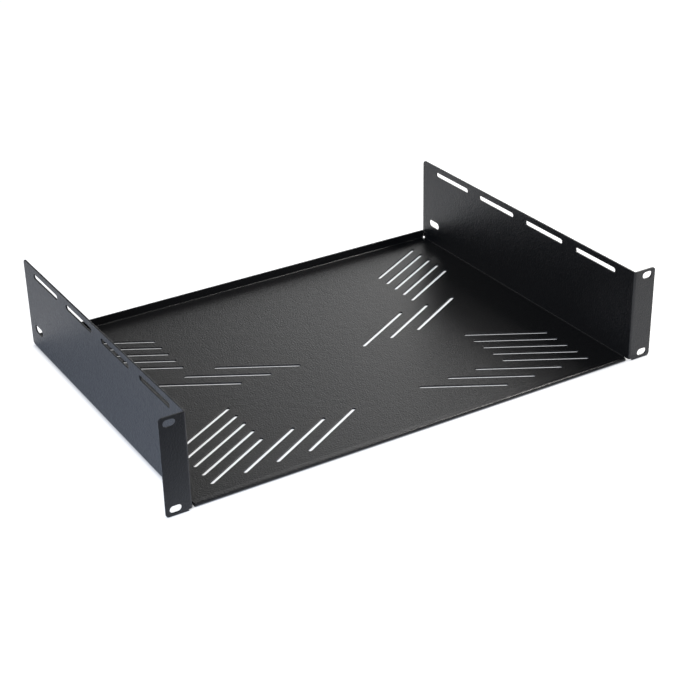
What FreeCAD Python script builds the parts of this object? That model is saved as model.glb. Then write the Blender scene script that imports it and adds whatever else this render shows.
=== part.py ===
"""Two-unit cantilever rack shelf: one folded steel sheet with ears, side walls, a hem and a lip.

Frame: X across the rack, Y towards the back of the rack, Z up. The origin is at the middle of
the underside, halfway between the front faces of the ears and the rear face of the lip.
All sizes are in millimetres and degrees, and stand in the sheet "Sizes".
"""
import FreeCAD, Part
import math
import os

import Sketcher

SIZES = {
    # Overall form: the channel and its ears span 482.6 mm, the width of a standard rack panel
    "channel_width": 438.9,
    "ear_width": 21.85,
    "depth": 330.3,
    "shelf_height": 87.6,
    "sheet_thickness": 1.5,
    "bend_radius": 0.8,
    # Front ears: the insets put the screw slots on a rack's spacings of 465.1 mm and 76.2 mm
    "ear_corner_radius": 3.0,
    "screw_slot_side_inset": 8.75,
    "screw_slot_end_inset": 5.7,
    "screw_slot_length": 11.0,
    "screw_slot_width": 7.0,
    # Front hem: its leaf is folded back and its tail is pressed down on the floor
    "hem_setback": 1.4,
    "hem_return": 6.0,
    "hem_nose_gap": 0.3,
    "hem_contact": 0.4,
    # Relief cuts between the hem, the side walls and the ears
    "relief_width": 2.2,
    "relief_rise": 1.6,
    "relief_reach": 2.3,
    # Rear lip, and the relief holes at its two corners
    "lip_height": 9.7,
    "lip_end_gap": 0.4,
    "corner_hole_diameter": 3.0,
    "corner_hole_rise": 3.4,
    # Side walls
    "wall_corner_radius": 4.0,
    "wall_slot_length": 56.0,
    "wall_slot_width": 5.2,
    "wall_slot_front_margin": 26.0,
    "wall_slot_rear_margin": 23.3,
    "wall_slot_drop": 8.0,
    "wall_slot_count": 4,
    "tie_slot_length": 18.0,
    "tie_slot_width": 7.8,
    "tie_slot_inset": 20.0,
    "tie_slot_height": 22.2,
    # Slanted vent slots in the floor: two stacks and two rows on each side
    "vent_length": 78.6,
    "vent_width": 3.7,
    "vent_angle": 30.0,
    "stack_side_offset": 157.1,
    "stack_pitch": 14.9,
    "stack_count": 5,
    "row_side_offset": 127.1,
    "row_pitch": 30.0,
    "row_count": 3,
    "front_vent_setback": 42.8,
    "rear_row_inset": 156.3,
    "rear_stack_inset": 41.6,
}

PLACES = {
    "half_depth": "=Sizes.depth / 2",
    "half_width": "=Sizes.channel_width / 2",
    "half_span": "=Sizes.channel_width / 2 + Sizes.ear_width",
    "hem_reach": "=Sizes.hem_setback + Sizes.hem_return",
    "hem_plane": "=Sizes.depth / 2 - Sizes.hem_setback - Sizes.hem_return",
    "channel_run": "=Sizes.depth - Sizes.hem_setback - Sizes.hem_return",
    "bend_reach": "=Sizes.bend_radius + Sizes.sheet_thickness",
    "hem_width": "=Sizes.channel_width - 2 * (Sizes.sheet_thickness + Sizes.relief_width)",
    "hem_gap_reach": "=Sizes.hem_setback + Sizes.hem_return - Sizes.hem_contact",
    "hem_inner_radius": "=Sizes.hem_nose_gap / 2",
    "hem_outer_radius": "=Sizes.sheet_thickness + Sizes.hem_nose_gap / 2",
    "hem_axis_setback": "=Sizes.hem_setback + Sizes.sheet_thickness + Sizes.hem_nose_gap / 2",
    "relief_inner": "=Sizes.channel_width / 2 - Sizes.sheet_thickness - Sizes.relief_width / 2",
    "relief_outer": "=Sizes.channel_width / 2 + Sizes.relief_reach",
    "lip_width": "=Sizes.channel_width - 2 * (Sizes.sheet_thickness + Sizes.lip_end_gap)",
    "corner_hole_side": "=Sizes.channel_width / 2 - Sizes.bend_radius - Sizes.sheet_thickness",
    "corner_hole_radius": "=Sizes.corner_hole_diameter / 2",
    "screw_slot_offset": "=Sizes.channel_width / 2 + Sizes.ear_width - Sizes.screw_slot_side_inset",
    "screw_slot_rise": "=Sizes.shelf_height - 2 * Sizes.screw_slot_end_inset",
    "wall_slot_setback": "=Sizes.wall_slot_front_margin + Sizes.wall_slot_length / 2",
    "wall_slot_height": "=Sizes.shelf_height - Sizes.wall_slot_drop",
    "wall_slot_run": "=Sizes.depth - Sizes.wall_slot_front_margin - Sizes.wall_slot_rear_margin"
                     " - Sizes.wall_slot_length",
}

START, END, CENTRE = range(1, 4)
HORIZONTAL_AXIS, VERTICAL_AXIS = range(-1, -3, -1)
SKETCH_ORIGIN = (HORIZONTAL_AXIS, START)
LEFT, RIGHT = "left", "right"
FRONT, REAR = "-", ""  # the sign of a Y place at that end of the shelf
SAME_POINT = 1e-6
OVERCUT = 5.0

doc = FreeCAD.newDocument("RackShelf")


# ---- Sizes ----------------------------------------------------------------------------------

def add_sheet(name, cells):
    """Writes each value beside its name, and gives its cell that name as an alias."""
    sheet = doc.addObject("Spreadsheet::Sheet", name)
    for row, (alias, value) in enumerate(cells.items(), start=1):
        sheet.set(f"A{row}", alias)
        sheet.set(f"B{row}", str(value))
        sheet.setAlias(f"B{row}", alias)
    doc.recompute()
    return sheet


def size(name):
    """The number that a sheet holds under this name."""
    sheet = doc.Sizes if name in SIZES else doc.Places
    return float(getattr(sheet, name))


def cell(name):
    """The expression that refers to this name's cell."""
    sheet = "Sizes" if name in SIZES else "Places"
    return f"{sheet}.{name}"


# ---- Sketching ------------------------------------------------------------------------------

def origin_feature(body, role):
    """The plane or axis of the body's own origin that has this role."""
    return next(item for item in body.Origin.OriginFeatures if item.Role == role)


def add_sketch(body, name, plane, **offsets):
    """A sketch on an origin plane, with its own origin shifted along its x, y and z."""
    sketch = body.newObject("Sketcher::SketchObject", name)
    sketch.AttachmentSupport = [(origin_feature(body, plane), "")]
    sketch.MapMode = "FlatFace"
    for axis, expression in offsets.items():
        sketch.setExpression(f"AttachmentOffset.Base.{axis}", expression)
    return sketch


def line(start, end):
    """A straight piece of an outline, from start to end."""
    return Part.LineSegment(FreeCAD.Vector(*start, 0), FreeCAD.Vector(*end, 0))


def arc(centre, radius, first_angle, last_angle):
    """A round piece of an outline, anticlockwise between two angles in degrees."""
    circle = Part.Circle(FreeCAD.Vector(*centre, 0), FreeCAD.Vector(0, 0, 1), radius)
    return Part.ArcOfCircle(circle, math.radians(first_angle), math.radians(last_angle))


def meeting_ends(sketch, first, second):
    """The end of each of two pieces at which they meet."""
    pairs = [(a, b) for a in (START, END) for b in (START, END)]
    return min(pairs, key=lambda pair: sketch.getPoint(first, pair[0]).distanceToPoint(
        sketch.getPoint(second, pair[1])))


def is_tangent(straight, bend, point):
    """Whether a straight piece leaves a round one in the round one's own direction."""
    direction = (straight.EndPoint - straight.StartPoint).normalize()
    return abs(direction.dot(point - bend.Center)) < SAME_POINT


def draw_outline(sketch, pieces):
    """Draws a closed outline, with its pieces joined, square lines kept square and bends smooth."""
    indices = [sketch.addGeometry(piece, False) for piece in pieces]
    for index, piece in zip(indices, pieces):
        if not isinstance(piece, Part.LineSegment):
            continue
        run = piece.EndPoint - piece.StartPoint
        if abs(run.x) < SAME_POINT:
            sketch.addConstraint(Sketcher.Constraint("Vertical", index))
        if abs(run.y) < SAME_POINT:
            sketch.addConstraint(Sketcher.Constraint("Horizontal", index))
    for index, piece, following, next_piece in zip(
            indices, pieces, indices[1:] + indices[:1], pieces[1:] + pieces[:1]):
        end_a, end_b = meeting_ends(sketch, index, following)
        ordered = sorted((piece, next_piece), key=lambda item: hasattr(item, "Radius"))
        bends = sum(hasattr(item, "Radius") for item in ordered)
        smooth = bends == 1 and is_tangent(*ordered, sketch.getPoint(index, end_a))
        kind = "Tangent" if smooth else "Coincident"
        sketch.addConstraint(Sketcher.Constraint(kind, index, end_a, following, end_b))
    return indices


def dimension(sketch, kind, places, value, expression):
    """Adds a dimension at its present value and binds it to the sheets."""
    index = sketch.addConstraint(Sketcher.Constraint(kind, *places, value))
    sketch.setExpression(f"Constraints[{index}]", expression)


def named_dimension(sketch, kind, places, name):
    """Adds a dimension that is one named value."""
    dimension(sketch, kind, places, size(name), cell(name))


def concentric(sketch, first, second):
    """Gives two arcs one centre."""
    sketch.addConstraint(Sketcher.Constraint("Coincident", first, CENTRE, second, CENTRE))


def draw_slot(sketch, side, offset, height, length, width, angle=None, upwards=1):
    """Draws a round-ended slot with its middle at an offset to one side and at a height.

    Offset, height, length and width are names of values, and so is the angle, which is left out
    on a level slot. The height is measured upwards, or downwards if upwards is -1.
    """
    turn = size(angle) if angle else 0.0
    sideways = size(offset) if side == RIGHT else -size(offset)
    middle = FreeCAD.Vector(sideways, upwards * size(height), 0)
    along = FreeCAD.Vector(math.cos(math.radians(turn)), math.sin(math.radians(turn)), 0)
    across = FreeCAD.Vector(-along.y, along.x, 0)
    radius = size(width) / 2
    reach = (size(length) - size(width)) / 2
    far = middle + along * reach
    near = middle - along * reach
    far_end, upper, near_end, lower = draw_outline(sketch, [
        arc((far.x, far.y), radius, turn - 90, turn + 90),
        Part.LineSegment(far + across * radius, near + across * radius),
        arc((near.x, near.y), radius, turn + 90, turn + 270),
        Part.LineSegment(near - across * radius, far - across * radius),
    ])
    point = sketch.addGeometry(Part.Point(middle), True)
    sketch.addConstraint(
        Sketcher.Constraint("Symmetric", far_end, CENTRE, near_end, CENTRE, point, START))
    to_middle = (*SKETCH_ORIGIN, point, START)
    from_middle = (point, START, *SKETCH_ORIGIN)
    named_dimension(sketch, "DistanceX", to_middle if side == RIGHT else from_middle, offset)
    named_dimension(sketch, "DistanceY", to_middle if upwards > 0 else from_middle, height)
    dimension(sketch, "Radius", (far_end,), radius, f"{cell(width)} / 2")
    dimension(sketch, "Distance", (near_end, CENTRE, far_end, CENTRE), 2 * reach,
              f"{cell(length)} - {cell(width)}")
    if angle:
        sketch.addConstraint(Sketcher.Constraint("Equal", far_end, near_end))
        dimension(sketch, "Angle", (lower,), math.radians(turn), f"{cell(angle)} * 1 deg")


# ---- Features -------------------------------------------------------------------------------

def volume(body):
    """The body's volume so far."""
    return body.Shape.Volume if body.Tip else 0.0


def settle(body, feature, before, sign):
    """Makes a feature the body's tip, and makes sure that it added or removed material."""
    body.Tip = feature
    doc.recompute()
    change = volume(body) - before
    if change * sign <= 0:
        raise RuntimeError(f"{feature.Name} changed the volume by {change:.3f} mm3")
    return feature


def add_pad(body, name, sketch, length, side_type="One side", backwards=False):
    """Thickens a closed outline by an expression's length."""
    before = volume(body)
    pad = body.newObject("PartDesign::Pad", name)
    pad.Profile = sketch
    pad.SideType = side_type
    pad.Reversed = backwards
    pad.setExpression("Length", length)
    return settle(body, pad, before, sign=1)


def add_pocket(body, name, sketch, length=None, side_type="One side", backwards=False):
    """Cuts a closed outline away, by an expression's length or through everything."""
    before = volume(body)
    pocket = body.newObject("PartDesign::Pocket", name)
    pocket.Profile = sketch
    pocket.SideType = side_type
    pocket.Reversed = backwards
    if length:
        pocket.setExpression("Length", length)
    else:
        pocket.Type = "ThroughAll"
    return settle(body, pocket, before, sign=-1)


def linear_step(body, name, axis, count, pitch=None, run=None, backwards=False):
    """Repeats along one of the body's axes, at a pitch or evenly over a whole run.

    Pitch and run are names of values, and the count is an expression.
    """
    step = body.newObject("PartDesign::LinearPattern", name)
    step.Direction = (origin_feature(body, axis), [""])
    step.Reversed = backwards
    step.Mode = "Spacing" if pitch else "Extent"
    step.setExpression("Offset" if pitch else "Length", cell(pitch or run))
    step.setExpression("Occurrences", count)
    return step


def mirror_step(body, name):
    """A reflection in the shelf's middle plane."""
    step = body.newObject("PartDesign::Mirrored", name)
    step.MirrorPlane = (origin_feature(body, "YZ_Plane"), [""])
    return step


def repeat(body, name, original, steps, sign):
    """Repeats a feature by one step after another."""
    before = volume(body)
    pattern = body.newObject("PartDesign::MultiTransform", name)
    pattern.Originals = [original]
    pattern.Transformations = steps
    return settle(body, pattern, before, sign)


def edges_along(shape, direction, is_wanted):
    """The names of a shape's straight edges that run in a direction and pass a test on their middle."""
    names = []
    for number, edge in enumerate(shape.Edges, start=1):
        if not isinstance(edge.Curve, Part.Line):
            continue
        is_parallel = abs(edge.Curve.Direction.dot(direction)) > 1 - SAME_POINT
        if is_parallel and is_wanted(edge.CenterOfMass):
            names.append(f"Edge{number}")
    return names


def add_rounding(body, name, edges, radius):
    """Rounds edges of the body's last feature to a named radius."""
    before = volume(body)
    base = body.Tip
    rounding = body.newObject("PartDesign::Fillet", name)
    rounding.Base = (base, edges)
    rounding.setExpression("Radius", cell(radius))
    return settle(body, rounding, before, sign=-1)


# ---- The folded sheet -----------------------------------------------------------------------

def add_channel(body):
    """The floor and both side walls, from the hem's tail to the back of the shelf."""
    half = size("half_width")
    top = size("shelf_height")
    thickness = size("sheet_thickness")
    reach = size("bend_reach")
    radius = size("bend_radius")
    sketch = add_sketch(body, "ChannelSection", "XZ_Plane", z=cell("hem_plane"))
    pieces = [
        line((-half, top), (-half, reach)),
        arc((reach - half, reach), reach, 180, 270),
        line((reach - half, 0), (half - reach, 0)),
        arc((half - reach, reach), reach, 270, 360),
        line((half, reach), (half, top)),
        line((half, top), (half - thickness, top)),
        line((half - thickness, top), (half - thickness, reach)),
        arc((half - reach, reach), radius, 270, 360),
        line((half - reach, thickness), (reach - half, thickness)),
        arc((reach - half, reach), radius, 180, 270),
        line((thickness - half, reach), (thickness - half, top)),
        line((thickness - half, top), (-half, top)),
    ]
    (left_outer, left_bend, underside, right_bend, right_outer, _, _,
     right_inner_bend, floor, left_inner_bend, _, _) = draw_outline(sketch, pieces)
    concentric(sketch, left_bend, left_inner_bend)
    concentric(sketch, right_bend, right_inner_bend)
    sketch.addConstraint(Sketcher.Constraint("PointOnObject", underside, START, HORIZONTAL_AXIS))
    sketch.addConstraint(Sketcher.Constraint(
        "Symmetric", left_bend, CENTRE, right_bend, CENTRE, VERTICAL_AXIS))
    sketch.addConstraint(Sketcher.Constraint("Horizontal", left_outer, START, right_outer, END))
    named_dimension(sketch, "DistanceX", (left_outer, START, right_outer, END), "channel_width")
    named_dimension(sketch, "DistanceY", (underside, END, right_outer, END), "shelf_height")
    named_dimension(sketch, "DistanceY", (underside, END, floor, START), "sheet_thickness")
    named_dimension(sketch, "Radius", (right_inner_bend,), "bend_radius")
    return add_pad(body, "Channel", sketch, cell("channel_run"), backwards=True)


def add_hem(body):
    """The floor's front stretch, turned over at the nose into a leaf pressed down on the floor."""
    axis = size("hem_axis_setback")
    outer = size("hem_outer_radius")
    inner = size("hem_inner_radius")
    thickness = size("sheet_thickness")
    tail = size("hem_reach")
    gap_end = size("hem_gap_reach")
    from_axis = (gap_end - axis, thickness - outer)
    slope = math.atan2(*from_axis) - math.acos(inner / math.hypot(*from_axis))
    lift = (math.sin(slope), math.cos(slope))
    leaf_start = (axis + outer * lift[0], outer + outer * lift[1])
    leaf_end = (tail, leaf_start[1] - (tail - leaf_start[0]) * math.tan(slope))
    gap_start = (axis + inner * lift[0], outer + inner * lift[1])
    leaf_angle = 90 - math.degrees(slope)
    sketch = add_sketch(body, "HemSection", "YZ_Plane", x=f"-{cell('half_depth')}")
    underside, nose, leaf, _ = draw_outline(sketch, [
        line((tail, 0), (axis, 0)),
        arc((axis, outer), outer, leaf_angle, 270),
        line(leaf_start, leaf_end),
        line(leaf_end, (tail, 0)),
    ])
    inside, floor, leaf_under = draw_outline(sketch, [
        arc((axis, outer), inner, leaf_angle, 270),
        line((axis, thickness), (gap_end, thickness)),
        line((gap_end, thickness), gap_start),
    ])
    concentric(sketch, nose, inside)
    sketch.addConstraint(Sketcher.Constraint("Parallel", leaf, leaf_under))
    sketch.addConstraint(Sketcher.Constraint("PointOnObject", underside, START, HORIZONTAL_AXIS))
    named_dimension(sketch, "DistanceX", (*SKETCH_ORIGIN, underside, START), "hem_reach")
    named_dimension(sketch, "DistanceX", (*SKETCH_ORIGIN, nose, CENTRE), "hem_axis_setback")
    named_dimension(sketch, "DistanceX", (*SKETCH_ORIGIN, floor, END), "hem_gap_reach")
    named_dimension(sketch, "DistanceY", (*SKETCH_ORIGIN, floor, END), "sheet_thickness")
    named_dimension(sketch, "Radius", (inside,), "hem_inner_radius")
    return add_pad(body, "Hem", sketch, cell("hem_width"), side_type="Symmetric")


def add_ears(body):
    """The ears, each folded outwards from the front of its wall."""
    half = size("half_width")
    span = size("half_span")
    thickness = size("sheet_thickness")
    radius = size("bend_radius")
    reach = size("bend_reach")
    root = size("hem_reach")
    sketch = add_sketch(body, "EarSection", "XY_Plane", y=f"-{cell('half_depth')}")
    pieces = [
        line((half - thickness, root), (half - thickness, reach)),
        arc((half + radius, reach), reach, 180, 270),
        line((half + radius, 0), (span, 0)),
        line((span, 0), (span, thickness)),
        line((span, thickness), (half + radius, thickness)),
        arc((half + radius, reach), radius, 180, 270),
        line((half, reach), (half, root)),
        line((half, root), (half - thickness, root)),
    ]
    _, bend, front, end, _, inner_bend, wall, _ = draw_outline(sketch, pieces)
    concentric(sketch, bend, inner_bend)
    sketch.addConstraint(Sketcher.Constraint("PointOnObject", front, START, HORIZONTAL_AXIS))
    named_dimension(sketch, "DistanceX", (*SKETCH_ORIGIN, front, END), "half_span")
    named_dimension(sketch, "DistanceX", (*SKETCH_ORIGIN, wall, START), "half_width")
    named_dimension(sketch, "DistanceY", (*SKETCH_ORIGIN, wall, END), "hem_reach")
    named_dimension(sketch, "DistanceY", (end, START, end, END), "sheet_thickness")
    named_dimension(sketch, "Radius", (inner_bend,), "bend_radius")
    ear = add_pad(body, "RightEar", sketch, cell("shelf_height"))
    return repeat(body, "Ears", ear, [mirror_step(body, "EarMirror")], sign=1)


def cut_front_relief(body):
    """Raises the bottom edge of each wall where it turns into the ear, clear of the hem."""
    inner = size("relief_inner")
    outer = size("relief_outer")
    depth = size("hem_reach")
    sketch = add_sketch(body, "FrontRelief", "XY_Plane", y=f"-{cell('half_depth')}")
    front, side, back, _ = draw_outline(sketch, [
        line((inner, -OVERCUT), (outer, -OVERCUT)),
        line((outer, -OVERCUT), (outer, depth)),
        line((outer, depth), (inner, depth)),
        line((inner, depth), (inner, -OVERCUT)),
    ])
    named_dimension(sketch, "DistanceX", (*SKETCH_ORIGIN, front, START), "relief_inner")
    named_dimension(sketch, "DistanceX", (*SKETCH_ORIGIN, side, START), "relief_outer")
    named_dimension(sketch, "DistanceY", (*SKETCH_ORIGIN, back, START), "hem_reach")
    dimension(sketch, "DistanceY", (front, START, *SKETCH_ORIGIN), OVERCUT, str(OVERCUT))
    relief = add_pocket(body, "RightRelief", sketch, cell("relief_rise"), backwards=True)
    return repeat(body, "FrontReliefs", relief, [mirror_step(body, "ReliefMirror")], sign=-1)


def add_lip(body):
    """The rear lip, folded up between the walls, in place of the floor's last stretch."""
    thickness = size("sheet_thickness")
    reach = size("bend_reach")
    radius = size("bend_radius")
    height = size("lip_height")
    notch = add_sketch(body, "LipNotch", "YZ_Plane", x=cell("half_depth"))
    bottom, rear, top, _ = draw_outline(notch, [
        line((-reach, -OVERCUT), (OVERCUT, -OVERCUT)),
        line((OVERCUT, -OVERCUT), (OVERCUT, reach)),
        line((OVERCUT, reach), (-reach, reach)),
        line((-reach, reach), (-reach, -OVERCUT)),
    ])
    named_dimension(notch, "DistanceX", (bottom, START, *SKETCH_ORIGIN), "bend_reach")
    named_dimension(notch, "DistanceY", (*SKETCH_ORIGIN, top, START), "bend_reach")
    dimension(notch, "DistanceX", (*SKETCH_ORIGIN, rear, START), OVERCUT, str(OVERCUT))
    dimension(notch, "DistanceY", (bottom, START, *SKETCH_ORIGIN), OVERCUT, str(OVERCUT))
    add_pocket(body, "LipClearance", notch, side_type="Symmetric")

    sketch = add_sketch(body, "LipSection", "YZ_Plane", x=cell("half_depth"))
    rear, top, _, inner_bend, root, bend = draw_outline(sketch, [
        line((0, reach), (0, height)),
        line((0, height), (-thickness, height)),
        line((-thickness, height), (-thickness, reach)),
        arc((-reach, reach), radius, 270, 360),
        line((-reach, thickness), (-reach, 0)),
        arc((-reach, reach), reach, 270, 360),
    ])
    concentric(sketch, bend, inner_bend)
    sketch.addConstraint(Sketcher.Constraint("PointOnObject", rear, START, VERTICAL_AXIS))
    sketch.addConstraint(Sketcher.Constraint("PointOnObject", root, END, HORIZONTAL_AXIS))
    sketch.addConstraint(Sketcher.Constraint("Vertical", root, END, bend, CENTRE))
    named_dimension(sketch, "DistanceX", (top, END, top, START), "sheet_thickness")
    named_dimension(sketch, "DistanceY", (*SKETCH_ORIGIN, rear, END), "lip_height")
    named_dimension(sketch, "Radius", (inner_bend,), "bend_radius")
    return add_pad(body, "RearLip", sketch, cell("lip_width"), side_type="Symmetric")


def cut_corner_holes(body):
    """The round relief holes where the floor's side and rear bends would meet."""
    side = size("corner_hole_side")
    inset = size("bend_reach")
    sketch = add_sketch(body, "CornerHole", "XY_Plane", y=cell("half_depth"))
    circle = Part.Circle(FreeCAD.Vector(side, -inset, 0), FreeCAD.Vector(0, 0, 1),
                         size("corner_hole_radius"))
    hole = sketch.addGeometry(circle, False)
    named_dimension(sketch, "DistanceX", (*SKETCH_ORIGIN, hole, CENTRE), "corner_hole_side")
    named_dimension(sketch, "DistanceY", (hole, CENTRE, *SKETCH_ORIGIN), "bend_reach")
    named_dimension(sketch, "Radius", (hole,), "corner_hole_radius")
    cut = add_pocket(body, "RightCornerHole", sketch, cell("corner_hole_rise"), backwards=True)
    return repeat(body, "CornerHoles", cut, [mirror_step(body, "CornerMirror")], sign=-1)


# ---- Holes ----------------------------------------------------------------------------------

def cut_screw_slots(body):
    """Four level slots in the ears, on the rack's screw spacings."""
    sketch = add_sketch(body, "ScrewSlot", "XZ_Plane", z=cell("half_depth"))
    draw_slot(sketch, RIGHT, "screw_slot_offset", "screw_slot_end_inset",
              "screw_slot_length", "screw_slot_width")
    cut = add_pocket(body, "LowerRightScrewSlot", sketch, cell("sheet_thickness"))
    steps = [
        linear_step(body, "ScrewRise", "Z_Axis", "2", run="screw_slot_rise"),
        mirror_step(body, "ScrewMirror"),
    ]
    return repeat(body, "ScrewSlots", cut, steps, sign=-1)


def cut_wall_slots(body):
    """A line of long slots near the top of both walls."""
    sketch = add_sketch(body, "WallSlot", "YZ_Plane", x=f"-{cell('half_depth')}")
    draw_slot(sketch, RIGHT, "wall_slot_setback", "wall_slot_height",
              "wall_slot_length", "wall_slot_width")
    cut = add_pocket(body, "FrontWallSlots", sketch, side_type="Symmetric")
    step = linear_step(body, "WallSlotRun", "Y_Axis", cell("wall_slot_count"), run="wall_slot_run")
    return repeat(body, "WallSlots", cut, [step], sign=-1)


def cut_tie_slots(body):
    """A short slot low at the back of each wall."""
    sketch = add_sketch(body, "TieSlot", "YZ_Plane", x=cell("half_depth"))
    draw_slot(sketch, LEFT, "tie_slot_inset", "tie_slot_height", "tie_slot_length", "tie_slot_width")
    return add_pocket(body, "TieSlots", sketch, side_type="Symmetric")


def cut_vents(body, name, side, end, offset, distance, axis, pitch, count):
    """One group of slanted floor slots at the front or rear, repeated along an axis and mirrored.

    The first slot is the one nearest to the end and to the wall. As drawn, each leans up to the
    right, so that its mirror image leans the other way.
    """
    edge = f"{end}{cell('half_depth')}"
    sketch = add_sketch(body, f"{name}Slot", "XY_Plane", y=edge)
    along = 1 if end == FRONT else -1
    draw_slot(sketch, side, offset, distance, "vent_length", "vent_width", "vent_angle", along)
    cut = add_pocket(body, f"{name}First", sketch, cell("sheet_thickness"), backwards=True)
    backwards = side == RIGHT if axis == "X_Axis" else end == REAR
    steps = [
        linear_step(body, f"{name}Run", axis, cell(count), pitch=pitch, backwards=backwards),
        mirror_step(body, f"{name}Mirror"),
    ]
    return repeat(body, name, cut, steps, sign=-1)


def round_corners(body):
    """Rounds the ears' outer corners and the upper rear corners of the walls."""
    shape = body.Shape
    ear_edges = edges_along(shape, FreeCAD.Vector(0, 1, 0), lambda middle: (
        abs(abs(middle.x) - size("half_span")) < SAME_POINT))
    add_rounding(body, "EarCorners", ear_edges, "ear_corner_radius")
    wall_edges = edges_along(body.Shape, FreeCAD.Vector(1, 0, 0), lambda middle: (
        abs(middle.y - size("half_depth")) < SAME_POINT
        and abs(middle.z - size("shelf_height")) < SAME_POINT))
    return add_rounding(body, "WallCorners", wall_edges, "wall_corner_radius")


def build_shelf():
    """The whole shelf as one body."""
    body = doc.addObject("PartDesign::Body", "RackShelf")
    body.Label = "rack_shelf"
    add_channel(body)
    add_hem(body)
    add_ears(body)
    cut_front_relief(body)
    add_lip(body)
    cut_corner_holes(body)
    round_corners(body)
    cut_screw_slots(body)
    cut_wall_slots(body)
    cut_tie_slots(body)
    cut_vents(body, "FrontStack", LEFT, FRONT, "stack_side_offset", "front_vent_setback",
              "Y_Axis", "stack_pitch", "stack_count")
    cut_vents(body, "FrontRow", LEFT, FRONT, "row_side_offset", "front_vent_setback",
              "X_Axis", "row_pitch", "row_count")
    cut_vents(body, "RearRow", RIGHT, REAR, "row_side_offset", "rear_row_inset",
              "X_Axis", "row_pitch", "row_count")
    cut_vents(body, "RearStack", RIGHT, REAR, "stack_side_offset", "rear_stack_inset",
              "Y_Axis", "stack_pitch", "stack_count")
    return body


# ---- Checks and files -----------------------------------------------------------------------

def check_document(bodies):
    """Stops if anything in the document failed, or a sketch is loose, or a shape isn't sound."""
    for item in doc.Objects:
        if {"Invalid", "Error"} & set(item.State):
            raise RuntimeError(f"{item.Name} failed: {item.State}")
        if item.TypeId == "Sketcher::SketchObject" and not item.FullyConstrained:
            raise RuntimeError(f"{item.Name} isn't fully constrained")
    for body in bodies:
        if body.Shape.isNull() or not body.Shape.isValid() or len(body.Shape.Solids) != 1:
            raise RuntimeError(f"{body.Label} isn't one sound solid")


def main():
    """Builds the shelf, checks it and writes its file."""
    add_sheet("Sizes", SIZES)
    add_sheet("Places", PLACES)
    shelf = build_shelf()
    doc.recompute()
    check_document([shelf])
    os.makedirs("parts", exist_ok=True)
    shelf.Shape.exportStep(f"parts/{shelf.Label}.step")
    box = shelf.Shape.BoundBox
    print(f"{shelf.Label}: {box.XLength:.2f} x {box.YLength:.2f} x {box.ZLength:.2f} mm,"
          f" {shelf.Shape.Volume:.0f} mm3, {len(shelf.Shape.Faces)} faces")


main()
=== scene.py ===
"""Looks for a two-unit cantilever rack shelf, folded from one black powder-coated steel sheet."""
import logging
import math
from dataclasses import dataclass
from enum import Enum

import bmesh
import bpy
from mathutils import Matrix, Vector


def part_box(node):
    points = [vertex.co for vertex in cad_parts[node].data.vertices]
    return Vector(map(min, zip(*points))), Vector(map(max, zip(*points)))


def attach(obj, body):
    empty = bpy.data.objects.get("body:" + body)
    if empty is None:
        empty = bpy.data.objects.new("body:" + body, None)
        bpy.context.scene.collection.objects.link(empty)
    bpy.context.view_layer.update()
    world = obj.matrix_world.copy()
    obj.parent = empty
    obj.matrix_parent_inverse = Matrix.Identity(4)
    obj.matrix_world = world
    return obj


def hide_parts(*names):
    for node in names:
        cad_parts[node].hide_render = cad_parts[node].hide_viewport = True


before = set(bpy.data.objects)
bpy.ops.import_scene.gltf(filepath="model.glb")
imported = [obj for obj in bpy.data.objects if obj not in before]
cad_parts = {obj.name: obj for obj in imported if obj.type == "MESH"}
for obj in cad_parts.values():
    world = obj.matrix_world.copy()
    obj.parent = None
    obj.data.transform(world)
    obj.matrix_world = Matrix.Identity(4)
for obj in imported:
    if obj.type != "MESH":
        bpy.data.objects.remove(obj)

MM = 0.001
WHITE = (1.0, 1.0, 1.0, 1.0)
LOG = logging.getLogger("rack_shelf")

Point = tuple[float, float]
Place = tuple[float, float, float]
Colour = tuple[float, float, float, float]
Tree = bpy.types.NodeTree
Socket = bpy.types.NodeSocket


def linear(hex_colour: str) -> Colour:
    """Turns an sRGB hex colour into the linear colour that a shader takes.

    Args:
        hex_colour: the colour as "#rrggbb".

    Returns:
        The linear red, green and blue, and an alpha of 1.
    """
    # The standard sRGB curve is straight near black, and a power above that.
    channels = [int(hex_colour[start:start + 2], 16) / 255 for start in (1, 3, 5)]
    red, green, blue = (
        value / 12.92 if value <= 0.04045 else ((value + 0.055) / 1.055) ** 2.4
        for value in channels)
    return red, green, blue, 1.0


def add_node(tree: Tree, kind: str, inputs: dict[str | int, object] | None = None,
             **settings: object) -> bpy.types.Node:
    """Adds a node, with its settings, and its inputs set or linked.

    Args:
        tree: the node tree that gets the node.
        kind: the node's type name.
        inputs: input values by name or index. An output socket given as a value is linked.
        **settings: the node's properties by name.

    Returns:
        The new node.
    """
    node = tree.nodes.new(kind)
    for name, value in settings.items():
        setattr(node, name, value)
    for key, value in (inputs or {}).items():
        socket = node.inputs[key]
        if isinstance(value, bpy.types.NodeSocket):
            tree.links.new(value, socket)
        else:
            socket.default_value = value
    return node


def settle(made: bpy.types.Object) -> None:
    """Turns an object's modifiers into its own plain mesh, and removes them.

    Args:
        made: the object, with live modifiers.
    """
    evaluated = made.evaluated_get(bpy.context.evaluated_depsgraph_get())
    plain = bpy.data.meshes.new_from_object(evaluated)
    made.modifiers.clear()
    made.data = plain


# ---- Outlines and prisms --------------------------------------------------------------------


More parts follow.
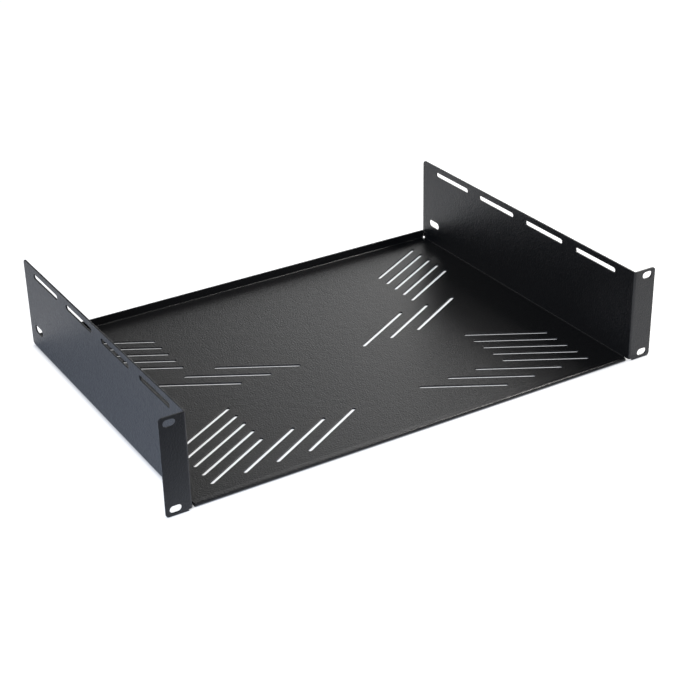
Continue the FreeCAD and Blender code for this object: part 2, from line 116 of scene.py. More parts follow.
class Section(Enum):
    """The plane of an outline: its two axes, and the axis that it is thickened along."""

    FRONT_VIEW = (0, 2, 1)
    SIDE_VIEW = (1, 2, 0)
    TOP_VIEW = (0, 1, 2)

    def place(self, point: Point, depth: float) -> Vector:
        """Places a point of an outline in space.

        Args:
            point: the point in the outline's plane, in millimetres.
            depth: where it lies along the third axis, in millimetres.

        Returns:
            The place in metres.
        """
        first, second, third = self.value
        place = Vector((0.0, 0.0, 0.0))
        place[first], place[second], place[third] = point[0] * MM, point[1] * MM, depth * MM
        return place


class Side(Enum):
    """A side of the shelf, as seen from its front."""

    LEFT = "left"
    RIGHT = "right"

    def outline(self, right_hand: list[Point]) -> list[Point]:
        """A right-hand piece's outline, or its mirror image for the left side."""
        return mirrored(right_hand) if self is Side.LEFT else right_hand


class Meeting(Enum):
    """What a second solid does to the first where they meet."""

    JOINS = "UNION"
    CUTS = "DIFFERENCE"


def bend(centre: Point, radius: float, first: float, last: float,
         steps: int = 10) -> list[Point]:
    """Draws a round stretch of an outline.

    Args:
        centre: the arc's centre.
        radius: its radius.
        first: the angle it starts at, in degrees.
        last: the angle it ends at, in degrees.
        steps: how many straight pieces stand for it.

    Returns:
        The arc's points, ends included.
    """
    angles = [math.radians(first + (last - first) * step / steps) for step in range(steps + 1)]
    return [(centre[0] + radius * math.cos(a), centre[1] + radius * math.sin(a)) for a in angles]


def box_outline(low: Point, high: Point) -> list[Point]:
    """A rectangle's four corners."""
    return [low, (high[0], low[1]), high, (low[0], high[1])]


def mirrored(outline: list[Point]) -> list[Point]:
    """The outline's mirror image, left for right."""
    return [(-u, v) for u, v in outline]


def prism(name: str, outline: list[Point], section: Section, start: float,
          end: float) -> bpy.types.Object:
    """Makes a closed solid: an outline thickened from one depth to another.

    Args:
        name: the object's name.
        outline: the outline's points in millimetres.
        section: the plane that the outline is drawn in.
        start: the depth of one end, in millimetres.
        end: the depth of the other end.

    Returns:
        The solid.
    """
    shape = bmesh.new()
    near, far = ([shape.verts.new(section.place(point, depth)) for point in outline]
                 for depth in (start, end))
    shape.faces.new(near)
    shape.faces.new(far)
    for here, there in zip(range(len(near)), [*range(1, len(near)), 0]):
        shape.faces.new((near[here], near[there], far[there], far[here]))
    bmesh.ops.recalc_face_normals(shape, faces=shape.faces)
    mesh = bpy.data.meshes.new(name)
    shape.to_mesh(mesh)
    shape.free()
    made = bpy.data.objects.new(name, mesh)
    bpy.context.collection.objects.link(made)
    return made


def combine(base: bpy.types.Object, others: list[bpy.types.Object], meeting: Meeting) -> None:
    """Joins solids to a base, or cuts them away, and removes them.

    Args:
        base: the solid that is changed.
        others: the solids to join or cut with.
        meeting: whether they join the base or cut it.
    """
    for other in others:
        joint = base.modifiers.new("joint", "BOOLEAN")
        joint.operation = meeting.value
        joint.solver = "EXACT"
        joint.object = other
        settle(base)
        bpy.data.objects.remove(other)


# ---- Finish ---------------------------------------------------------------------------------


@dataclass(frozen=True)
class PowderCoat:
    """Jet black polyester powder coat, fine-textured and semi-matte, baked on steel sheet."""

    # To the eye it is a deep black without a hard shine. The fine texture spreads each highlight
    # into a soft grey sheen, and the slow waves of orange peel make that sheen uneven. Polyester's
    # IOR is about 1.5, which is the shader's own.
    colour: str = "#0d0d0e"
    smooth_spots: float = 0.30
    rough_spots: float = 0.40
    grain_mm: float = 1.5
    grain_height_mm: float = 0.3
    grain_detail: float = 2.0
    grain_low: float = 0.3
    grain_high: float = 0.7
    peel_mm: float = 7.0
    peel_height_mm: float = 0.1
    peel_detail: float = 1.0

    def noise(self, tree: Tree, size_mm: float, detail: float) -> Socket:
        """Adds a noise pattern of a real size to the material.

        Args:
            tree: the material's node tree.
            size_mm: the size of the pattern's spots, in millimetres.
            detail: how many finer layers it has.

        Returns:
            The socket with the pattern's value.
        """
        place = add_node(tree, "ShaderNodeTexCoord")
        pattern = add_node(tree, "ShaderNodeTexNoise", {
            "Vector": place.outputs["Object"], "Scale": 1 / (size_mm * MM), "Detail": detail})
        return pattern.outputs["Fac"]

    def material(self) -> bpy.types.Material:
        """Builds the material.

        Returns:
            The finish, ready to be put on the sheet.
        """
        made = bpy.data.materials.new("black_powder_coat")
        made.use_nodes = True
        tree = made.node_tree
        tree.nodes.clear()
        # The real grain is about 0.5 mm. It is drawn coarser, so that it shows on the whole shelf.
        grain = self.noise(tree, self.grain_mm, self.grain_detail)
        peel = self.noise(tree, self.peel_mm, self.peel_detail)
        waves = add_node(tree, "ShaderNodeBump", {
            "Height": peel, "Distance": self.peel_height_mm * MM})
        relief = add_node(tree, "ShaderNodeBump", {
            "Height": grain, "Distance": self.grain_height_mm * MM,
            "Normal": waves.outputs["Normal"]})
        sheen = add_node(tree, "ShaderNodeMapRange", {
            "Value": grain, "From Min": self.grain_low, "From Max": self.grain_high,
            "To Min": self.smooth_spots, "To Max": self.rough_spots})
        shader = add_node(tree, "ShaderNodeBsdfPrincipled", {
            "Base Color": linear(self.colour), "Roughness": sheen.outputs["Result"],
            "Normal": relief.outputs["Normal"]})
        add_node(tree, "ShaderNodeOutputMaterial", {"Surface": shader.outputs["BSDF"]})
        return made


# ---- The folded sheet -----------------------------------------------------------------------


@dataclass
class FoldedSheet:
    """The shelf's one steel sheet, cut to its outline and folded, before its slots are punched.

    Sizes are in millimetres. Span, depth and height are those of the CAD part's box in model.glb.
    """

    span: float
    depth: float
    height: float
    channel_width: float = 438.9
    thickness: float = 1.5
    bend_radius: float = 0.8
    ear_corner_radius: float = 3.0
    hem_setback: float = 1.4
    hem_return: float = 6.0
    hem_nose_gap: float = 0.3
    hem_tail_gap: float = 0.05
    relief_width: float = 2.2
    relief_rise: float = 1.6
    relief_reach: float = 2.3
    lip_height: float = 9.7
    lip_end_gap: float = 0.4
    wall_corner_radius: float = 4.0
    nose_steps: int = 16
    nose_gap_steps: int = 8
    # How far a cutting solid reaches past the sheet, and a box of narrow places past its folds.
    overcut: float = 5.0
    fold_margin: float = 0.1
    bend_margin: float = 0.5

    @property
    def front(self) -> float:
        """The Y of the ears' front faces."""
        return -self.depth / 2

    @property
    def rear(self) -> float:
        """The Y of the lip's rear face."""
        return self.depth / 2

    @property
    def half_width(self) -> float:
        """The X of the right wall's outer face."""
        return self.channel_width / 2

    @property
    def reach(self) -> float:
        """How far a bend reaches in from the faces that it joins."""
        return self.bend_radius + self.thickness

    @property
    def hem_end(self) -> float:
        """The Y of the hem's tail edge, where the walls' relief ends too."""
        return self.front + self.hem_setback + self.hem_return

    def narrow_places(self) -> list[tuple[Vector, Vector]]:
        """Gives the boxes, in metres, where folds meet too closely for rounded edges.

        Returns:
            Two corners for each box: the hem's gap, and the right side's bend relief. The left side
            mirrors the right one.
        """
        margin = self.fold_margin
        back = self.hem_end + margin
        gap = (
            (0.0, self.front + self.hem_setback + self.thickness - margin, self.thickness - margin),
            (self.half_width, back, self.thickness + self.hem_nose_gap + margin),
        )
        relief = (
            (self.half_width - self.reach - self.bend_margin, self.front - margin, -margin),
            (self.half_width + self.relief_reach + margin, back, self.reach + margin),
        )
        return [(Vector(low) * MM, Vector(high) * MM) for low, high in (gap, relief)]

    def channel(self) -> bpy.types.Object:
        """Bends the floor and both walls, as one U-shaped length.

        Returns:
            The channel, from the hem's tail to the rear.
        """
        corner = self.half_width - self.reach
        inner = self.half_width - self.thickness
        right = [
            *bend((corner, self.reach), self.reach, -90, 0),
            (self.half_width, self.height),
            (inner, self.height),
            *bend((corner, self.reach), self.bend_radius, 0, -90),
        ]
        outline = [*right, *mirrored(right)[::-1]]
        return prism("channel", outline, Section.FRONT_VIEW, self.hem_end, self.rear)

    def hem(self) -> bpy.types.Object:
        """Turns the floor's front stretch over at the nose, into a leaf that slopes to the floor.

        Returns:
            The hem, between its two relief slits.
        """
        inner = self.hem_nose_gap / 2
        outer = inner + self.thickness
        axis = (self.front + self.hem_setback + outer, outer)
        # The leaf leaves the nose's round along a tangent, and ends at the tail gap.
        run = self.hem_end - axis[0]
        drop = inner - self.hem_tail_gap
        slope = math.degrees(math.atan2(drop, run) + math.asin(inner / math.hypot(run, drop)))
        tail = (self.hem_end, self.thickness + self.hem_tail_gap)
        leaf_rise = self.thickness / math.cos(math.radians(slope))
        outline = [
            (self.hem_end, 0.0),
            *bend(axis, outer, 270, 90 - slope, self.nose_steps),
            (tail[0], tail[1] + leaf_rise),
            tail,
            *bend(axis, inner, 90 - slope, 270, self.nose_gap_steps),
            (self.hem_end, self.thickness),
        ]
        half = self.half_width - self.thickness - self.relief_width
        return prism("hem", outline, Section.SIDE_VIEW, -half, half)

    def ear(self, side: Side) -> bpy.types.Object:
        """Folds one ear outwards from its wall's front edge, with its outer corners rounded.

        Args:
            side: the side that the ear is on.

        Returns:
            The ear, with the relief under its bend.
        """
        inner = self.half_width - self.thickness
        edge = self.span / 2
        centre = (self.half_width + self.bend_radius, self.front + self.reach)
        folded = [
            (inner, self.hem_end),
            *bend(centre, self.reach, 180, 270),
            (edge, self.front),
            (edge, self.front + self.thickness),
            *bend(centre, self.bend_radius, 270, 180),
            (self.half_width, self.hem_end),
        ]
        ear = prism(f"{side.value}_ear", side.outline(folded), Section.TOP_VIEW, 0.0, self.height)
        radius = self.ear_corner_radius
        lower = [
            (edge - radius, -self.overcut),
            (edge + self.overcut, -self.overcut),
            (edge + self.overcut, radius),
            *bend((edge - radius, radius), radius, 0, -90),
        ]
        upper = [(across, self.height - up) for across, up in lower]
        relief = box_outline((inner - self.relief_width / 2, -self.overcut),
                             (self.half_width + self.relief_reach, self.relief_rise))
        start = self.front - self.overcut
        cuts = [
            prism(name, side.outline(cut), Section.FRONT_VIEW, start, end + self.overcut)
            for name, cut, end in (("corner", lower, self.front), ("corner", upper, self.front),
                                   ("relief", relief, self.hem_end))
        ]
        combine(ear, cuts, Meeting.CUTS)
        return ear

    def lip(self) -> bpy.types.Object:
        """Folds the low lip up along the floor's rear edge.

        Returns:
            The lip, with a gap to the wall at each end.
        """
        centre = (self.rear - self.reach, self.reach)
        outline = [
            *bend(centre, self.reach, 270, 360),
            (self.rear, self.lip_height),
            (self.rear - self.thickness, self.lip_height),
            *bend(centre, self.bend_radius, 360, 270),
        ]
        half = self.half_width - self.thickness - self.lip_end_gap
        return prism("lip", outline, Section.SIDE_VIEW, -half, half)

    def blank(self) -> bpy.types.Object:
        """Folds the whole sheet, with no slot in it yet.

        Returns:
            The blank, one closed solid.
        """
        sheet = self.channel()
        beyond = self.half_width + self.overcut
        past_rear = self.rear + self.overcut
        notch = box_outline((self.rear - self.reach, -self.overcut), (past_rear, self.reach))
        radius = self.wall_corner_radius
        corner = [
            (past_rear, self.height - radius),
            (past_rear, self.height + self.overcut),
            (self.rear - radius, self.height + self.overcut),
            *bend((self.rear - radius, self.height - radius), radius, 90, 0),
        ]
        cuts = [prism(name, cut, Section.SIDE_VIEW, -beyond, beyond)
                for name, cut in (("notch", notch), ("wall_corner", corner))]
        combine(sheet, cuts, Meeting.CUTS)
        folds = [self.lip(), self.hem(), self.ear(Side.LEFT), self.ear(Side.RIGHT)]
        combine(sheet, folds, Meeting.JOINS)
        sheet.name = "perforated_sheet"
        LOG.info("folded sheet: %d faces", len(sheet.data.polygons))
        return sheet


# ---- Perforations ---------------------------------------------------------------------------


class Facing(Enum):
    """How a punch is turned, as Euler angles in degrees, for the face that it goes through."""

    FLOOR = (0.0, 0.0, 0.0)
    WALL = (90.0, 0.0, 90.0)
    EAR = (90.0, 0.0, 0.0)


@dataclass(frozen=True)
class SlotRun:
    """A run of equal round-ended slots, evenly spaced. Sizes are in millimetres."""

    name: str
    facing: Facing
    first: Place
    length: float
    width: float
    depth: float
    step: Place = (0.0, 0.0, 0.0)
    count: int = 1
    turn: float = 0.0
    both_sides: bool = True

    def inputs(self, build_up: float) -> dict[str, object]:
        """Gives the punching tree's inputs, by their names, in metres and radians.

        Args:
            build_up: how far the coat narrows each slot from each side, in millimetres.

        Returns:
            The inputs' values.
        """
        turned = Vector(self.facing.value) + Vector((0.0, 0.0, self.turn))
        return {
            "First Place": Vector(self.first) * MM,
            "Step": Vector(self.step) * MM,
            "Count": self.count,
            "Facing": Vector([math.radians(angle) for angle in turned]),
            "Slot Length": (self.length - 2 * build_up) * MM,
            "Slot Width": (self.width - 2 * build_up) * MM,
            "Punch Depth": self.depth * MM,
            "Both Sides": self.both_sides,
        }


@dataclass
class Perforations:
    """The slots and holes punched through the folded sheet, as runs cut by one node tree."""

    sheet: FoldedSheet
    vent_length: float = 78.6
    vent_width: float = 3.7
    vent_angle: float = 30.0
    stack_offset: float = 157.1
    stack_pitch: float = 14.9
    stack_count: int = 5
    row_offset: float = 127.1
    row_pitch: float = 30.0
    row_count: int = 3
    front_vent_setback: float = 42.8
    rear_row_inset: float = 156.3
    rear_stack_inset: float = 41.6
    wall_slot_length: float = 56.0
    wall_slot_width: float = 5.2
    wall_slot_front_margin: float = 26.0
    wall_slot_rear_margin: float = 23.3
    wall_slot_drop: float = 8.0
    wall_slot_count: int = 4
    tie_slot_length: float = 18.0
    tie_slot_width: float = 7.8
    tie_slot_inset: float = 20.0
    tie_slot_height: float = 22.2
    screw_slot_length: float = 11.0
    screw_slot_width: float = 7.0
    screw_slot_side_inset: float = 8.75
    screw_slot_end_inset: float = 5.7
    corner_hole_diameter: float = 3.0
    corner_hole_rise: float = 3.4
    floor_build_up: float = 0.15
    upright_build_up: float = 0.3
    round_steps: int = 6
    weld_mm: float = 0.001

    @property
    def punch_depth(self) -> float:
        """How long a punch is that goes through one thickness from either face."""
        return 3 * self.sheet.thickness

    def vents(self) -> list[SlotRun]:
        """Places the slanted floor slots.

        Returns:
            A stack and a row at the front, and a row and a stack at the rear.
        """
        sheet = self.sheet
        front = sheet.front + self.front_vent_setback
        rear_row = sheet.rear - self.rear_row_inset
        rear_stack = sheet.rear - self.rear_stack_inset
        shared = {"facing": Facing.FLOOR, "length": self.vent_length, "width": self.vent_width,
                  "depth": self.punch_depth, "turn": self.vent_angle}
        return [
            SlotRun("front_stack", first=(-self.stack_offset, front, 0.0),
                    step=(0.0, self.stack_pitch, 0.0), count=self.stack_count, **shared),
            SlotRun("front_row", first=(-self.row_offset, front, 0.0),
                    step=(self.row_pitch, 0.0, 0.0), count=self.row_count, **shared),
            SlotRun("rear_row", first=(self.row_offset, rear_row, 0.0),
                    step=(-self.row_pitch, 0.0, 0.0), count=self.row_count, **shared),
            SlotRun("rear_stack", first=(self.stack_offset, rear_stack, 0.0),
                    step=(0.0, -self.stack_pitch, 0.0), count=self.stack_count, **shared),
        ]

    def wall_runs(self) -> list[SlotRun]:
        """Places the walls' slots, each run punched through both walls at once.

        Returns:
            The long slots near the top, and the short one low at the back.
        """
        sheet = self.sheet
        across = sheet.channel_width + 2 * sheet.thickness
        first = sheet.front + self.wall_slot_front_margin + self.wall_slot_length / 2
        last = sheet.rear - self.wall_slot_rear_margin - self.wall_slot_length / 2
        pitch = (last - first) / (self.wall_slot_count - 1)
        return [
            SlotRun("wall_slots", Facing.WALL, (0.0, first, sheet.height - self.wall_slot_drop),
                    self.wall_slot_length, self.wall_slot_width, across,
                    step=(0.0, pitch, 0.0), count=self.wall_slot_count, both_sides=False),
            SlotRun("tie_slots", Facing.WALL,
                    (0.0, sheet.rear - self.tie_slot_inset, self.tie_slot_height),
                    self.tie_slot_length, self.tie_slot_width, across, both_sides=False),
        ]

    def screw_slots(self) -> SlotRun:
        """Places the ears' slots, on a rack's screw spacings.

        Returns:
            The two slots of one ear, for both sides.
        """
        sheet = self.sheet
        side = sheet.span / 2 - self.screw_slot_side_inset
        rise = sheet.height - 2 * self.screw_slot_end_inset
        return SlotRun("screw_slots", Facing.EAR, (side, sheet.front, self.screw_slot_end_inset),
                       self.screw_slot_length, self.screw_slot_width, self.punch_depth,
                       step=(0.0, 0.0, rise), count=2)

    def corner_holes(self) -> SlotRun:
        """Places the round relief holes where the floor's side and rear bends would meet.

        Returns:
            One hole, for both sides.
        """
        sheet = self.sheet
        place = (sheet.half_width - sheet.reach, sheet.rear - sheet.reach, 0.0)
        return SlotRun("corner_holes", Facing.FLOOR, place, self.corner_hole_diameter,
                       self.corner_hole_diameter, 2 * self.corner_hole_rise)

    def tree(self, coat: bpy.types.Material) -> Tree:
        """Builds the node tree that punches one run of slots through a sheet.

        Args:
            coat: the finish that the punched sheet gets.

        Returns:
            The tree.
        """
        tree = bpy.data.node_groups.new("punch_slot_run", "GeometryNodeTree")
        inputs = {
            "Sheet": "Geometry", "First Place": "Vector", "Step": "Vector", "Count": "Int",
            "Facing": "Vector", "Slot Length": "Float", "Slot Width": "Float",
            "Punch Depth": "Float", "Both Sides": "Bool",
        }
        for name, kind in inputs.items():
            tree.interface.new_socket(name, in_out="INPUT", socket_type=f"NodeSocket{kind}")
        tree.interface.new_socket("Punched Sheet", in_out="OUTPUT",
                                  socket_type="NodeSocketGeometry")
        outputs = add_node(tree, "NodeGroupInput").outputs
        given = {name: outputs[name] for name in inputs}
        punches = self.repeated(tree, given, self.one_punch(tree, given))
        cut = add_node(tree, "GeometryNodeMeshBoolean", {
            "Mesh 1": given["Sheet"], "Mesh 2": punches}, operation="DIFFERENCE", solver="EXACT")
        real = add_node(tree, "GeometryNodeRealizeInstances", {0: cut.outputs["Mesh"]})
        dressed = add_node(tree, "GeometryNodeSetMaterial", {
            "Geometry": real.outputs[0], "Material": coat})
        add_node(tree, "NodeGroupOutput", {0: dressed.outputs[0]})
        return tree

    def one_punch(self, tree: Tree, given: dict[str, Socket]) -> Socket:
        """Adds the nodes that make one punch: an upright round-ended bar about the origin.

        Args:
            tree: the punching tree.
            given: the tree's inputs by name.

        Returns:
            The socket with the punch's mesh.
        """
        radius = add_node(tree, "ShaderNodeMath", {0: given["Slot Width"], 1: 0.5},
                          operation="MULTIPLY")
        rectangle = add_node(tree, "GeometryNodeCurvePrimitiveQuadrilateral", {
            "Width": given["Slot Length"], "Height": given["Slot Width"]})
        outline = add_node(tree, "GeometryNodeFilletCurve", {
            "Curve": rectangle.outputs["Curve"], "Radius": radius.outputs[0],
            "Count": self.round_steps, "Limit Radius": True}, mode="POLY")
        half_depth = add_node(tree, "ShaderNodeMath", {0: given["Punch Depth"], 1: 0.5},
                              operation="MULTIPLY")
        upper = add_node(tree, "ShaderNodeCombineXYZ", {"Z": half_depth.outputs[0]})
        lower = add_node(tree, "ShaderNodeVectorMath", {0: upper.outputs[0], "Scale": -1.0},
                         operation="SCALE")
        stroke = add_node(tree, "GeometryNodeCurvePrimitiveLine", {
            "Start": lower.outputs[0], "End": upper.outputs[0]})
        solid = add_node(tree, "GeometryNodeCurveToMesh", {
            "Curve": stroke.outputs["Curve"], "Profile Curve": outline.outputs["Curve"],
            "Fill Caps": True})
        welded = add_node(tree, "GeometryNodeMergeByDistance", {
            "Geometry": solid.outputs["Mesh"], "Distance": self.weld_mm * MM})
        return welded.outputs["Geometry"]

    def repeated(self, tree: Tree, given: dict[str, Socket], punch: Socket) -> Socket:
        """Adds the nodes that repeat the punch along its run, and on the other side if asked.

        Args:
            tree: the punching tree.
            given: the tree's inputs by name.
            punch: the socket with the punch's mesh.

        Returns:
            The socket with all of the run's punches.
        """
        places = add_node(tree, "GeometryNodeMeshLine", {
            "Count": given["Count"], "Start Location": given["First Place"],
            "Offset": given["Step"]}, mode="OFFSET")
        turn = add_node(tree, "FunctionNodeEulerToRotation", {0: given["Facing"]})
        punches = add_node(tree, "GeometryNodeInstanceOnPoints", {
            "Points": places.outputs["Mesh"], "Instance": punch, "Rotation": turn.outputs[0]})
        run = add_node(tree, "GeometryNodeRealizeInstances", {0: punches.outputs[0]})
        image = add_node(tree, "GeometryNodeTransform", {
            "Geometry": run.outputs[0], "Scale": (-1.0, 1.0, 1.0)})
        other_side = add_node(tree, "GeometryNodeFlipFaces", {"Mesh": image.outputs[0]})
        pair = add_node(tree, "GeometryNodeJoinGeometry", {0: run.outputs[0]})
        tree.links.new(other_side.outputs[0], pair.inputs[0])
        chosen = add_node(tree, "GeometryNodeSwitch", {
            "Switch": given["Both Sides"], "False": run.outputs[0], "True": pair.outputs[0]},
            input_type="GEOMETRY")
        return chosen.outputs[0]

    def punch(self, blank: bpy.types.Object, coat: bpy.types.Material) -> None:
        """Punches every run through the blank, which ends as a plain mesh.

        Args:
            blank: the folded sheet.
            coat: the finish that it gets.
        """
        tree = self.tree(coat)
        identifiers = {item.name: item.identifier for item in tree.interface.items_tree}
        for run in [*self.vents(), *self.wall_runs(), self.screw_slots(), self.corner_holes()]:
            modifier = blank.modifiers.new(run.name, "NODES")
            modifier.node_group = tree
            # The coat narrows each opening, and the upright ones are drawn narrower still, to
            # look as slim as the real ones.
            on_floor = run.facing is Facing.FLOOR
            build_up = self.floor_build_up if on_floor else self.upright_build_up
            for name, value in run.inputs(build_up).items():
                modifier[identifiers[name]] = value
            settle(blank)
            LOG.info("%s: %d slots, %d faces so far", run.name, run.count * (1 + run.both_sides),
                     len(blank.data.polygons))


@dataclass(frozen=True)
class CoatedEdges:
    """The sheet's cut edges, rounded over by the thickness of the coat."""

    radius_mm: float = 0.25
    segments: int = 2
    sharp_degrees: float = 40.0
    flat_degrees: float = 0.5
    weld_mm: float = 0.002
    opening_sides: int = 4

    def round_off(self, sheet: bpy.types.Object, spared: list[tuple[Vector, Vector]]) -> None:
        """Rounds the sharp edges, and gives the flat faces even shading.

        Args:
            sheet: the punched sheet.
            spared: two corners for each box whose edges stay sharp, in metres, for both sides.
        """
        shape = bmesh.new()
        shape.from_mesh(sheet.data)
        bmesh.ops.remove_doubles(shape, verts=shape.verts, dist=self.weld_mm * MM)
        # A punch can leave a hair-thin opening in a flat face, which is closed here.
        bmesh.ops.holes_fill(shape, edges=shape.edges, sides=self.opening_sides)
        bmesh.ops.dissolve_limit(shape, angle_limit=math.radians(self.flat_degrees),
                                 verts=shape.verts, edges=shape.edges)
        weight = shape.edges.layers.float.new("bevel_weight_edge")
        for edge in shape.edges:
            is_spared = any(all(self.is_inside(vert.co, box) for vert in edge.verts)
                            for box in spared)
            edge[weight] = float(self.is_sharp(edge) and not is_spared)
        for face in shape.faces:
            face.smooth = True
        shape.to_mesh(sheet.data)
        shape.free()
        bevel = sheet.modifiers.new("coat", "BEVEL")
        bevel.limit_method = "WEIGHT"
        bevel.width = self.radius_mm * MM
        bevel.segments = self.segments
        bevel.use_clamp_overlap = False
        shading = sheet.modifiers.new("shading", "WEIGHTED_NORMAL")
        shading.keep_sharp = False
        settle(sheet)
        LOG.info("rounded edges: %d faces", len(sheet.data.polygons))

    def is_sharp(self, edge: bmesh.types.BMEdge) -> bool:
        """Whether an edge between two faces turns far enough to count as a cut edge."""
        return edge.is_manifold and edge.calc_face_angle() > math.radians(self.sharp_degrees)

    @staticmethod
    def is_inside(place: Vector, corners: tuple[Vector, Vector]) -> bool:
        """Tells whether a place, or its mirror image on the right side, lies within a box.

        Args:
            place: the place, in metres.
            corners: the box's lowest and highest corners, in metres.

        Returns:
            True if it does.
        """
        low, high = corners
        right = Vector((abs(place.x), place.y, place.z))
        return all(low[axis] <= right[axis] <= high[axis] for axis in range(3))


@dataclass
class RackShelf:
    """The whole shelf: its folded sheet, its perforations and its coat."""

    sheet: FoldedSheet
    perforations: Perforations
    edges: CoatedEdges
    coat: PowderCoat

    def build(self) -> bpy.types.Object:
        """Builds and dresses the shelf's one piece.

        Returns:
            The piece, a plain closed mesh with its coat on.
        """
        made = self.sheet.blank()
        finish = self.coat.material()
        self.perforations.punch(made, finish)
        self.edges.round_off(made, self.sheet.narrow_places())
        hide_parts("rack_shelf")
        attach(made, "root")
        return made


# ---- Studio ---------------------------------------------------------------------------------


def direction_of(azimuth: float, elevation: float) -> Vector:
    """The unit vector of a direction in degrees, with azimuth from the back to the right."""
    turn, rise = math.radians(azimuth), math.radians(elevation)
    return Vector((math.sin(turn) * math.cos(rise), math.cos(turn) * math.cos(rise), math.sin(rise)))


@dataclass(frozen=True)
class SoftCard:
    """A round white card far off with a soft edge, which only gloss shows. Angles in degrees."""

    azimuth: float
    elevation: float
    radius: float
    softness: float
    strength: float

    def glow(self, tree: Tree, direction: Socket) -> Socket:
        """Adds the nodes that give the card's light in a direction.

        Args:
            tree: the world's node tree.
            direction: the direction looked in, as a unit vector.

        Returns:
            The socket with the card's light.
        """
        angle = add_node(tree, "ShaderNodeVectorMath", {
            0: direction, 1: direction_of(self.azimuth, self.elevation)},
            operation="DOT_PRODUCT")
        patch = add_node(tree, "ShaderNodeMapRange", {
            "Value": angle.outputs["Value"],
            "From Min": math.cos(math.radians(self.radius + self.softness)),
            "From Max": math.cos(math.radians(self.radius - self.softness)),
            "To Min": 0.0, "To Max": self.strength}, interpolation_type="SMOOTHSTEP")
        return patch.outputs["Result"]


@dataclass(frozen=True)
class SoftLamp:
    """A square soft lamp that faces the shelf. Sizes in metres, power in watts."""

    name: str
    place: Place
    size: float
    power: float
    colour: str

    def hang(self) -> None:
        """Hangs the lamp in the studio."""
        light = bpy.data.lights.new(self.name, "AREA")
        light.shape = "SQUARE"
        light.size = self.size
        light.energy = self.power
        light.color = linear(self.colour)[:3]
        lamp = bpy.data.objects.new(self.name, light)
        lamp.location = self.place
        lamp.rotation_euler = (-Vector(self.place)).to_track_quat("-Z", "Y").to_euler()
        bpy.context.collection.objects.link(lamp)


@dataclass(frozen=True)
class WhiteFloor:
    """A matte white floor, evenly bright to look at. Sizes are in metres.

    To the shelf itself, in its gloss and in the light thrown back at it, the floor is white near
    the middle and fades to grey towards the dark side, between the fade's two distances: painted
    shade for the less lit floor in front of the shelf.
    """

    size: float = 30.0
    white: float = 0.9
    grey: float = 0.22
    dark_side: Place = (-0.5, -0.85, 0.0)
    fade: Point = (0.22, 0.36)
    seen_tone: float = 0.35
    seen_glow: float = 0.88
    contact_reach: float = 0.004
    contact_samples: int = 8

    def material(self) -> bpy.types.Material:
        """Builds the floor's white: a matte tone that takes the shelf's shadow, and an even glow.

        Returns:
            The floor's finish.
        """
        made = bpy.data.materials.new("floor_white")
        made.use_nodes = True
        tree = made.node_tree
        tree.nodes.clear()
        path = add_node(tree, "ShaderNodeLightPath")
        place = add_node(tree, "ShaderNodeTexCoord")
        forward = add_node(tree, "ShaderNodeVectorMath", {
            0: place.outputs["Object"], 1: self.dark_side}, operation="DOT_PRODUCT")
        # Painted shade: the floor that the sheet reflects darkens to grey towards the dark side.
        painted_shade_tone = add_node(tree, "ShaderNodeMapRange", {
            "Value": forward.outputs["Value"], "From Min": self.fade[0],
            "From Max": self.fade[1], "To Min": self.white, "To Max": self.grey},
            interpolation_type="SMOOTHSTEP")
        tone = add_node(tree, "ShaderNodeMapRange", {
            "Value": path.outputs["Is Camera Ray"], "To Min": painted_shade_tone.outputs["Result"],
            "To Max": self.seen_tone})
        matte = add_node(tree, "ShaderNodeBsdfDiffuse", {"Color": tone.outputs["Result"]})
        # The glow fades where the sheet touches the floor, a painted contact shadow, so that the
        # shelf stands on it.
        contact = add_node(tree, "ShaderNodeAmbientOcclusion", {"Distance": self.contact_reach},
                           samples=self.contact_samples)
        seen = add_node(tree, "ShaderNodeMath", {
            0: path.outputs["Is Camera Ray"], 1: contact.outputs["AO"]}, operation="MULTIPLY")
        strength = add_node(tree, "ShaderNodeMath", {0: seen.outputs[0], 1: self.seen_glow},
                            operation="MULTIPLY")
        glow = add_node(tree, "ShaderNodeEmission", {
            "Color": WHITE, "Strength": strength.outputs[0]})
        both = add_node(tree, "ShaderNodeAddShader", {0: matte.outputs[0], 1: glow.outputs[0]})
        add_node(tree, "ShaderNodeOutputMaterial", {"Surface": both.outputs[0]})
        return made

    def lay(self) -> None:
        """Lays the floor under the shelf."""
        bpy.ops.mesh.primitive_plane_add(size=self.size, location=(0, 0, 0))
        plane = bpy.context.object
        plane.name = "floor"
        plane.data.materials.append(self.material())


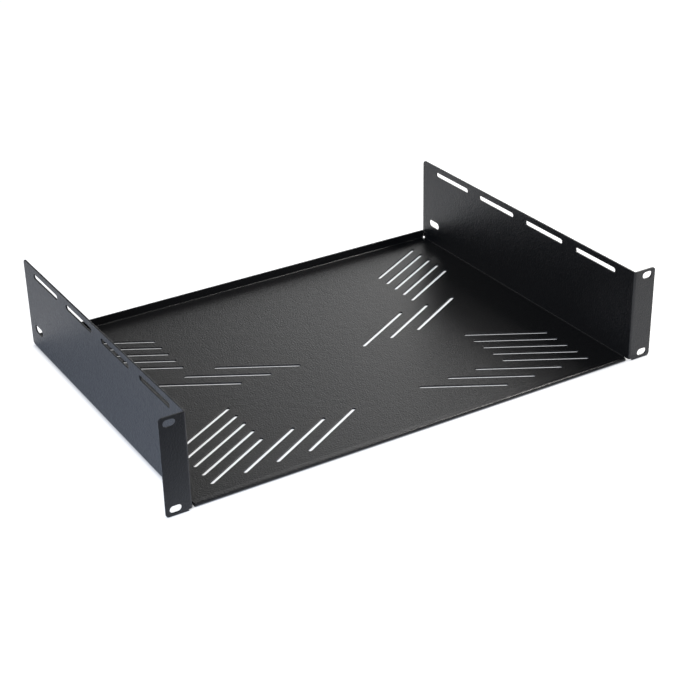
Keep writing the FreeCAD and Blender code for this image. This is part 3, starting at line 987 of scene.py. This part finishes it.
@dataclass(frozen=True)
class Surroundings:
    """What stands round the shelf: a white background, weak even daylight and soft cards."""

    daylight: str = "#eef4ff"
    ambient: float = 0.28
    gloss_level: float = 0.17
    cards: tuple[SoftCard, ...] = (
        SoftCard(azimuth=46, elevation=12, radius=21.5, softness=4, strength=1.74),
        SoftCard(azimuth=-38, elevation=24, radius=9, softness=5, strength=1.2),
    )

    def hang(self) -> None:
        """Puts the surroundings into the scene's world."""
        world = bpy.data.worlds.new("studio")
        bpy.context.scene.world = world
        world.use_nodes = True
        tree = world.node_tree
        tree.nodes.clear()
        path = add_node(tree, "ShaderNodeLightPath")
        direction = add_node(tree, "ShaderNodeTexCoord").outputs["Generated"]
        in_gloss: float | Socket = self.gloss_level
        for card in self.cards:
            in_gloss = add_node(tree, "ShaderNodeMath", {
                0: in_gloss, 1: card.glow(tree, direction)}, operation="ADD").outputs[0]
        # A strength of 1 is white to look at.
        light, white, gloss = (
            add_node(tree, "ShaderNodeBackground", {"Color": colour, "Strength": strength})
            for colour, strength in (
                (linear(self.daylight), self.ambient), (WHITE, 1.0), (WHITE, in_gloss)))
        seen = add_node(tree, "ShaderNodeMixShader", {
            0: path.outputs["Is Camera Ray"], 1: light.outputs[0], 2: white.outputs[0]})
        mix = add_node(tree, "ShaderNodeMixShader", {
            0: path.outputs["Is Glossy Ray"], 1: seen.outputs[0], 2: gloss.outputs[0]})
        add_node(tree, "ShaderNodeOutputWorld", {"Surface": mix.outputs[0]})


@dataclass(frozen=True)
class ShelfCamera:
    """The camera, in front of the shelf's left corner and above it.

    Lens and sensor are in millimetres, angles in degrees, and the rest in metres. Azimuth and
    elevation say where the camera stands as seen from its target.
    """

    lens: float = 82.71
    sensor: float = 36.0
    azimuth: float = 210.648
    elevation: float = 27.549
    roll: float = -1.363
    distance: float = 1.4143
    target: Place = (0.00593, -0.01515, 0.0176)

    def place(self) -> None:
        """Places the camera, and makes it the scene's own."""
        data = bpy.data.cameras.new("camera")
        data.lens = self.lens
        data.sensor_width = self.sensor
        back = direction_of(self.azimuth, self.elevation)
        right = Vector((0, 0, 1)).cross(back).normalized()
        up = back.cross(right)
        roll = math.radians(self.roll)
        turned_right = right * math.cos(roll) + up * math.sin(roll)
        turned_up = up * math.cos(roll) - right * math.sin(roll)
        turn = Matrix((turned_right, turned_up, back)).transposed().to_4x4()
        camera = bpy.data.objects.new("camera", data)
        camera.matrix_world = Matrix.Translation(Vector(self.target) + back * self.distance) @ turn
        bpy.context.collection.objects.link(camera)
        bpy.context.scene.camera = camera


@dataclass(frozen=True)
class Studio:
    """A white studio round the shelf: floor, surroundings, lamps and camera."""

    floor: WhiteFloor = WhiteFloor()
    surroundings: Surroundings = Surroundings()
    lamps: tuple[SoftLamp, ...] = (
        SoftLamp("key", (0.78, -0.05, 0.80), 0.5, 12.5, "#fffcf8"),
        SoftLamp("side", (-0.75, -0.5, 0.5), 0.5, 8.7, "#d8e6ff"),
    )
    camera: ShelfCamera = ShelfCamera()

    def set_up(self) -> None:
        """Sets the studio up, with colours shown plainly as they are written."""
        self.floor.lay()
        self.surroundings.hang()
        for lamp in self.lamps:
            lamp.hang()
        self.camera.place()
        bpy.context.scene.view_settings.view_transform = "Standard"


# ---- The whole scene ------------------------------------------------------------------------


def main() -> None:
    """Builds the shelf, reports its piece, and sets up the studio round it."""
    logging.basicConfig(level=logging.INFO)
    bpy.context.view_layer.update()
    span, depth, height = ((high - low) / MM for low, high in zip(*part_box("rack_shelf")))
    sheet = FoldedSheet(span, depth, height)
    shelf = RackShelf(sheet, Perforations(sheet), CoatedEdges(), PowderCoat())
    piece = shelf.build()
    LOG.info("%s: %d faces", piece.name, len(piece.data.polygons))
    Studio().set_up()


if __name__ == "__main__":
    main()
